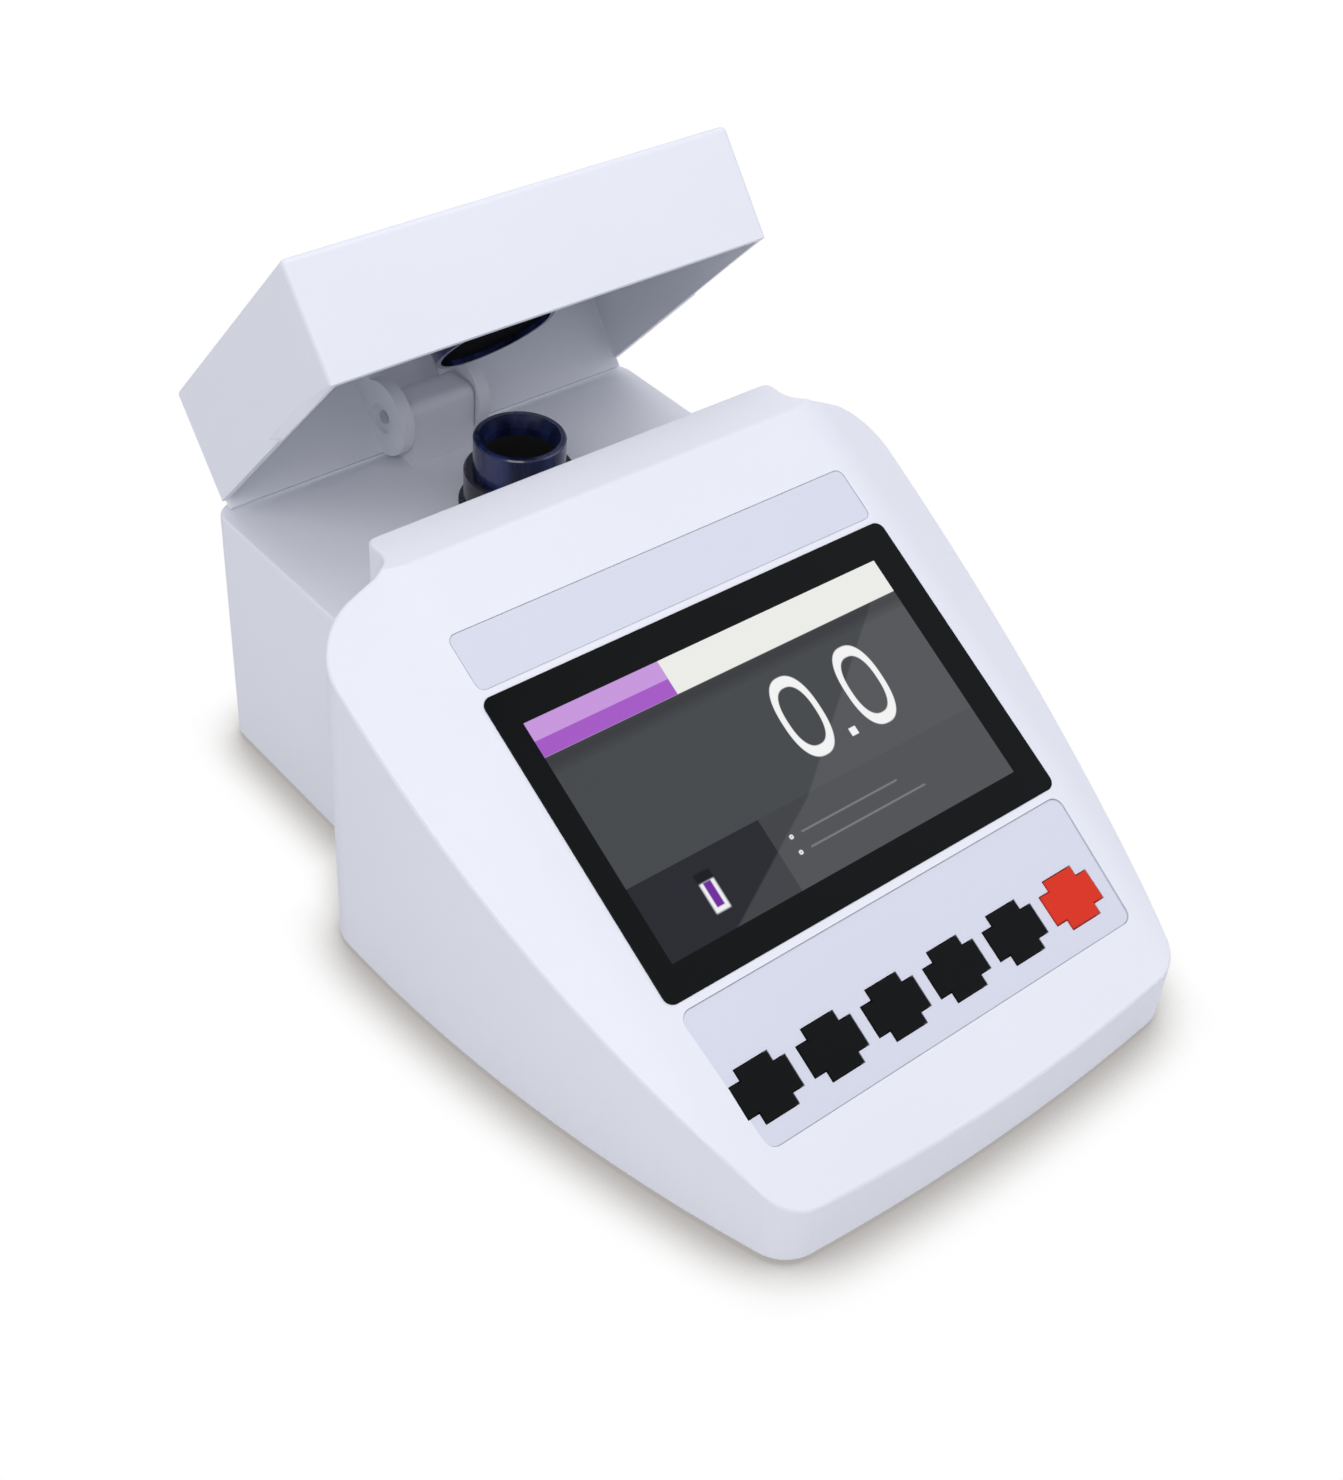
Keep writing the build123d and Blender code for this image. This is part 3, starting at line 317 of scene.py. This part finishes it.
def zero(x, y, half_width, half_height, stroke):
    """Mask of one zero, or of a dot where the stroke fills it."""
    made = node(paint, "ShaderNodeGroup", node_tree=RING)
    paint.links.new(PLACE, made.inputs["Place"])
    values = (x, y, half_width, half_height, stroke)
    for label, value in zip(("X", "Y", "Half Width", "Half Height", "Stroke"), values):
        made.inputs[label].default_value = value
    return made.outputs["Mask"]


def under_slopes(*slopes):
    """Mask of what lies under the higher one of two slanting lines, each a slope and an offset."""
    axes = node(paint, "ShaderNodeSeparateXYZ", Vector=PLACE).outputs
    lines = [calc(paint, "MULTIPLY_ADD", axes["X"], slope, offset) for slope, offset in slopes]
    return calc(paint, "SUBTRACT", calc(paint, "MAXIMUM", *lines), axes["Y"], clamp=True)


lower_band = bar(-BEYOND, BEYOND, -BEYOND, LOWER_BAND_TOP)
colour = lay((0.060, 0.065, 0.070, 1.0), lower_band, (0.052, 0.055, 0.060, 1.0))
colour = lay(colour, bar(-BEYOND, TAB_RIGHT, -BEYOND, LOWER_BAND_TOP), (0.016, 0.018, 0.024, 1.0))
colour = lay(colour, under_slopes((0.7516, -16.02), (0.5335, -16.65)), (0.30, 0.30, 0.31, 1.0), 0.13)
for mask, tone, opacity in (
    (bar(-BEYOND, BEYOND, 27.7, HEADER_LOW, 6.0), (0.006, 0.006, 0.007, 1.0), 0.55),
    (bar(-BEYOND, BEYOND, HEADER_LOW, BEYOND), (0.90, 0.90, 0.87, 1.0), 1.0),
    (bar(-BEYOND, TAB_RIGHT, HEADER_LOW, BEYOND), (0.40, 0.105, 0.60, 1.0), 1.0),
    (bar(-BEYOND, TAB_RIGHT, 37.8, BEYOND), (0.62, 0.33, 0.78, 1.0), 1.0),
    (zero(13.0, 6.5, 7.3, 13.4, 1.25), FIGURE_WHITE, 1.0),
    (zero(42.0, 6.5, 7.3, 13.4, 1.25), FIGURE_WHITE, 1.0),
    (bar(26.1, 29.1, -7.6, -4.6), FIGURE_WHITE, 1.0),
    (bar(-55.6, -49.7, -37.9, -27.0, 0.8), (0.93, 0.92, 0.95, 1.0), 1.0),
    (bar(-54.2, -51.1, -36.2, -27.2, 0.5), (0.17, 0.02, 0.36, 1.0), 1.0),
    (bar(-55.9, -49.4, -27.0, -23.6, 0.8), (0.004, 0.004, 0.005, 1.0), 1.0),
):
    colour = lay(colour, mask, tone, opacity)
for y, end in ((-27.7, 31.5), (-33.6, 40.5)):
    colour = lay(colour, zero(-16.5, y, 0.5, 0.5, 0.45), (0.85, 0.85, 0.85, 1.0))
    colour = lay(colour, bar(-12.0, end, y - 0.35, y + 0.35), (0.28, 0.28, 0.29, 1.0), 0.6)
paint.links.new(colour, glow["Emission Color"])
picture.data.materials.append(lit)
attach(picture, "housing")


# The label strip and the keypad overlay: pale lavender-grey polyester film, back-printed, laid
# into their recesses.  The strip is bare.
film = plastic("printed_film", (0.665, 0.68, 0.765, 1.0), 0.38, grain=2200.0, depth=0.00001, smear=0.12)
dress(film, "label_strip", "keypad_overlay")


# The keys: moulded caps in satin black, the measuring key in red.
black_keys = [f"key_{k}" for k in range(1, 6)]
dress(plastic("key_black", (0.004, 0.0045, 0.0045, 1.0), 0.45, grain=1800.0, Specular_IOR_Level=0.08),
      *black_keys)
dress(plastic("key_red", (0.70, 0.030, 0.010, 1.0), 0.45, grain=1800.0, Specular_IOR_Level=0.15),
      "key_red")


# The well tube, its collar and the lid's light cup: black acetal, turned and polished, that goes
# navy where the light catches it; that navy is painted sheen, streaks of lighter colour.  The
# tube's bore below its mouth is painted near-black as shade, and matt.  The seal in the cup is
# black open-cell foam.
def turned_sheen():
    """Tool marks of a turned piece, with painted sheen: noise stretched along the axis, so that it
    runs in streaks.

    Colour goes from the dark one to the painted sheen with the streaks, a painted reflection;
    Roughness varies a little with them and Height is the fine part of the same noise.  Inside the
    bore, which is where the distance from the axis and the height are under the given ones, the
    colour is painted near-black shade and the roughness matt.
    """
    group, given, result = new_group(
        "turned_sheen",
        [
            ("Dark", "NodeSocketColor", (0.004, 0.005, 0.012, 1.0)),
            ("Bright", "NodeSocketColor", (0.02, 0.03, 0.12, 1.0)),
            ("Roughness", "NodeSocketFloat", 0.16),
            ("Axis", "NodeSocketVector", (0.0, 0.0, 0.0)),
            ("Bore Radius", "NodeSocketFloat", 0.0),
            ("Bore Top", "NodeSocketFloat", 0.0),
        ],
        [
            ("Colour", "NodeSocketColor"),
            ("Roughness", "NodeSocketFloat"),
            ("Height", "NodeSocketFloat"),
        ],
    )
    place = node(group, "ShaderNodeTexCoord").outputs["Object"]
    drawn = node(group, "ShaderNodeMapping", Vector=place, Scale=(1.0, 1.0, 0.06)).outputs["Vector"]
    streaks = node(group, "ShaderNodeTexNoise", Vector=drawn, Scale=170.0, Detail=3.0, Roughness=0.5)
    fine = node(group, "ShaderNodeTexNoise", Vector=drawn, Scale=1400.0, Detail=2.0)
    share = node(group, "ShaderNodeMapRange", Value=streaks.outputs["Fac"], From_Min=0.36, From_Max=0.66)
    share = share.outputs["Result"]
    # Painted sheen: along the streaks the colour goes over to a lighter navy, a painted reflection.
    tint = blend(group, share, given["Dark"], given["Bright"])
    rough = calc(group, "MULTIPLY_ADD", share, 0.10, given["Roughness"])

    axes = node(group, "ShaderNodeSeparateXYZ", Vector=place).outputs
    flat = node(group, "ShaderNodeCombineXYZ", X=axes["X"], Y=axes["Y"]).outputs[0]
    away = node(group, "ShaderNodeVectorMath", operation="DISTANCE")
    group.links.new(flat, away.inputs[0])
    group.links.new(given["Axis"], away.inputs[1])
    # Painted shade: within the bore, below the given height, the colour turns near-black and the roughness
    # matt.
    within = calc(group, "LESS_THAN", away.outputs["Value"], given["Bore Radius"])
    beneath = calc(group, "LESS_THAN", axes["Z"], given["Bore Top"])
    bore = calc(group, "MULTIPLY", within, beneath)
    matt = calc(group, "SUBTRACT", 0.9, rough)
    group.links.new(blend(group, bore, tint, (0.0015, 0.0016, 0.002, 1.0)), result["Colour"])
    group.links.new(calc(group, "MULTIPLY_ADD", matt, bore, rough), result["Roughness"])
    group.links.new(fine.outputs["Fac"], result["Height"])
    return group


TOOL_MARKS_PAINTED_SHEEN = turned_sheen()
# The second colour of each acetal is painted sheen, a lighter navy laid along the streaks.
DARK_NAVY, PAINTED_SHEEN_NAVY = (0.006, 0.008, 0.030, 1.0), (0.020, 0.030, 0.115, 1.0)


def acetal(name, dark, painted_sheen_colour, rough, **bore):
    """Polished acetal: the group of tool marks and painted sheen, under a thin clear coat of polish."""
    given = {"Dark": dark, "Bright": painted_sheen_colour, "Roughness": rough}
    given.update({label.replace("_", " "): value for label, value in bore.items()})
    return finish_of(name, TOOL_MARKS_PAINTED_SHEEN, given, 0.4, 0.000006, Coat_Weight=0.3, Coat_Roughness=0.10)


dress(acetal("navy_acetal", DARK_NAVY, PAINTED_SHEEN_NAVY, 0.14), "light_cup")
dress(acetal("bored_acetal", DARK_NAVY, PAINTED_SHEEN_NAVY, 0.14, Axis=(0.0, 0.0919, 0.0),
             Bore_Radius=0.0142, Bore_Top=0.1245), "well_tube")
dress(acetal("black_acetal", (0.003, 0.0035, 0.010, 1.0), (0.008, 0.010, 0.035, 1.0), 0.20),
      "well_collar")
dress(plastic("black_foam", (0.0015, 0.0017, 0.002, 1.0), 0.95, grain=1100.0, depth=0.0004,
              Specular_IOR_Level=0.05), "foam_seal")


# The optical block below the deck is black acetal left matt against stray light; lamp holder
# and detectors are turned and pressed metal, the back panel is brushed aluminium.
dress(plastic("matt_acetal", (0.012, 0.012, 0.013, 1.0), 0.7), "chamber_block")


def drawn_lines():
    """Lines of turned or rolled metal: noise stretched by Streak varies roughness and height."""
    group, given, result = new_group(
        "drawn_lines",
        [
            ("Roughness", "NodeSocketFloat", 0.35),
            ("Scale", "NodeSocketFloat", 500.0),
            ("Streak", "NodeSocketVector", (1.0, 1.0, 1.0)),
        ],
        [("Roughness", "NodeSocketFloat"), ("Height", "NodeSocketFloat")],
    )
    place = node(group, "ShaderNodeTexCoord").outputs["Object"]
    turned = node(group, "ShaderNodeMapping", Vector=place, Scale=given["Streak"]).outputs["Vector"]
    lines = node(group, "ShaderNodeTexNoise", Vector=turned, Scale=given["Scale"], Detail=4.0).outputs["Fac"]
    smoothest = calc(group, "SUBTRACT", given["Roughness"], 0.08)
    group.links.new(calc(group, "MULTIPLY_ADD", lines, 0.18, smoothest), result["Roughness"])
    group.links.new(lines, result["Height"])
    return group


LINES = drawn_lines()


def metal(name, colour, rough, scale, streak):
    """A metal from the group of lines."""
    given = {"Roughness": rough, "Scale": scale, "Streak": streak}
    return finish_of(name, LINES, given, 0.4, 0.00001, Metallic=1.0, Base_Color=colour)


dress(metal("screw_steel", (0.50, 0.51, 0.53, 1.0), 0.35, 900.0, (1, 1, 1)),
      "base_screws", "keypad_screws", "main_screws", "chamber_screws", "hinge_screws",
      "cup_screws", "plate_screws")
dress(metal("pin_steel", (0.62, 0.62, 0.64, 1.0), 0.22, 400.0, (40, 1, 1)), "hinge_pin")
dress(metal("tinned_sheet", (0.60, 0.60, 0.62, 1.0), 0.4, 500.0, (1, 8, 1)),
      "lcd_module", "scatter_detector", "beam_detector", "data_port")
dress(metal("brushed_aluminium", (0.66, 0.67, 0.69, 1.0), 0.38, 300.0, (1, 30, 30)),
      "rear_plate", "lamp_holder")


# The lamp's lens: polished glass, cemented into the holder.
dress(plastic("lens_glass", (0.9, 0.92, 0.93, 1.0), 0.05, depth=0.000001, Transmission_Weight=0.9),
      "lamp_lens")


# The circuit boards: green solder mask over fibreglass, with black moulded parts.  The rocker
# switch and the inlet are moulded in the same black nylon.
board_mask = plastic("solder_mask", (0.012, 0.11, 0.05, 1.0), 0.35, grain=500.0, depth=0.00003, drift=0.3)
dress(board_mask, "keypad_board", "main_board")
dress(plastic("black_nylon", (0.012, 0.012, 0.013, 1.0), 0.45, grain=1200.0),
      "key_switches", "board_parts", "rocker_frame", "rocker", "power_inlet")


# Studio: white paper under and behind the object, a big soft lamp high at the front left, one
# overhead, a weaker one at the right and a pale surround.
def cleared(tree, output):
    """A tree emptied of all but its output node, and the input of that node."""
    tree.nodes.clear()
    return tree.nodes.new(output).inputs["Surface"]


def camera_sees(tree, others, seen):
    """The shader for the camera's own rays is the second one, for all other rays the first."""
    pick = node(tree, "ShaderNodeMixShader")
    tree.links.new(node(tree, "ShaderNodeLightPath").outputs["Is Camera Ray"], pick.inputs[0])
    tree.links.new(others.outputs[0], pick.inputs[1])
    tree.links.new(seen.outputs[0], pick.inputs[2])
    return pick.outputs[0]


def studio_floor(side=6.0):
    """Flat square under the object; to the camera it is white paper, with painted shadow close to the
    object.
    """
    made = bpy.data.meshes.new("studio_floor")
    corners = [(-side, -side, 0), (side, -side, 0), (side, side, 0), (-side, side, 0)]
    made.from_pydata(corners, [], [(0, 1, 2, 3)])
    piece = bpy.data.objects.new("studio_floor", made)
    bpy.context.scene.collection.objects.link(piece)
    material = bpy.data.materials.new("studio_floor")
    material.use_nodes = True
    tree = material.node_tree
    out = cleared(tree, "ShaderNodeOutputMaterial")
    cloth = node(tree, "ShaderNodeBsdfDiffuse", Color=(0.80, 0.80, 0.80, 1.0))
    # Painted contact shadow: where ambient occlusion finds the object near, the paper's colour goes to a
    # warm grey.
    painted_shadow_ao = node(tree, "ShaderNodeAmbientOcclusion", samples=16, Distance=0.026).outputs["AO"]
    share = node(tree, "ShaderNodeMapRange", interpolation_type="SMOOTHSTEP", Value=painted_shadow_ao,
                 From_Min=0.42, From_Max=0.97)
    tone = blend(tree, share.outputs["Result"], (0.42, 0.40, 0.385, 1.0), (1.0, 1.0, 1.0, 1.0))
    paper = node(tree, "ShaderNodeEmission", Color=tone, Strength=1.0)
    tree.links.new(camera_sees(tree, cloth, paper), out)
    piece.data.materials.append(material)


studio_floor()

world = bpy.data.worlds.new("studio")
bpy.context.scene.world = world
world.use_nodes = True
sky = world.node_tree
sky_out = cleared(sky, "ShaderNodeOutputWorld")
room = node(sky, "ShaderNodeBackground", Color=(0.88, 0.90, 1.0, 1.0), Strength=0.60)
paper = node(sky, "ShaderNodeBackground", Color=(1, 1, 1, 1), Strength=1.0)
sky.links.new(camera_sees(sky, room, paper), sky_out)

for name, place, aim, size, power, tint in (
    ("key_lamp", (-0.90, -0.65, 1.35), (0, 0, 0.1), 0.9, 8.5, (1.0, 0.99, 0.98)),
    ("side_lamp", (0.9, -0.5, 1.1), (0, 0, 0.1), 0.9, 2.2, (0.97, 0.98, 1.0)),
    ("top_lamp", (0.25, 0.20, 1.6), (0, 0.0, 0.1), 1.1, 6.2, (1.0, 1.0, 1.0)),
):
    light = bpy.data.lights.new(name, "AREA")
    light.size = size
    light.energy = power
    light.color = tint
    lamp = bpy.data.objects.new(name, light)
    lamp.location = place
    lamp.rotation_euler = (Vector(aim) - Vector(place)).to_track_quat("-Z", "Y").to_euler()
    bpy.context.scene.collection.objects.link(lamp)

# The camera stands where the photographer's did: to the left of the front, looking down.
EYE = (-0.39025, -0.42366, 0.54558)
YAW, PITCH, ROLL = (math.radians(a) for a in (42.72, 40.52, -4.75))
ahead = Vector((math.sin(YAW) * math.cos(PITCH), math.cos(YAW) * math.cos(PITCH), -math.sin(PITCH)))
level = Vector((math.cos(YAW), -math.sin(YAW), 0.0))
down = ahead.cross(level)
right = level * math.cos(ROLL) + down * math.sin(ROLL)
below = down * math.cos(ROLL) - level * math.sin(ROLL)
lens = bpy.data.cameras.new("camera")
lens.lens = 51.51
lens.sensor_width = 36.0
lens.sensor_fit = "AUTO"
camera = bpy.data.objects.new("camera", lens)
turn = Matrix((right, -below, -ahead)).transposed().to_4x4()
camera.matrix_world = Matrix.Translation(EYE) @ turn
bpy.context.scene.collection.objects.link(camera)
bpy.context.scene.camera = camera
bpy.context.scene.view_settings.view_transform = "Standard"


def arrange(tree, column=220, row=180):
    """Places a tree's nodes in columns, by how many links each is away from the output."""
    depth = {item.name: 0 for item in tree.nodes}
    for _ in tree.nodes:
        for wire in tree.links:
            start, end = wire.from_node.name, wire.to_node.name
            depth[start] = max(depth[start], depth[end] + 1)
    filled = {}
    for item in tree.nodes:
        place = depth[item.name]
        item.location = (-column * place, -row * filled.get(place, 0))
        filled[place] = filled.get(place, 0) + 1


for tree in (*bpy.data.node_groups, paint, sky):
    arrange(tree)
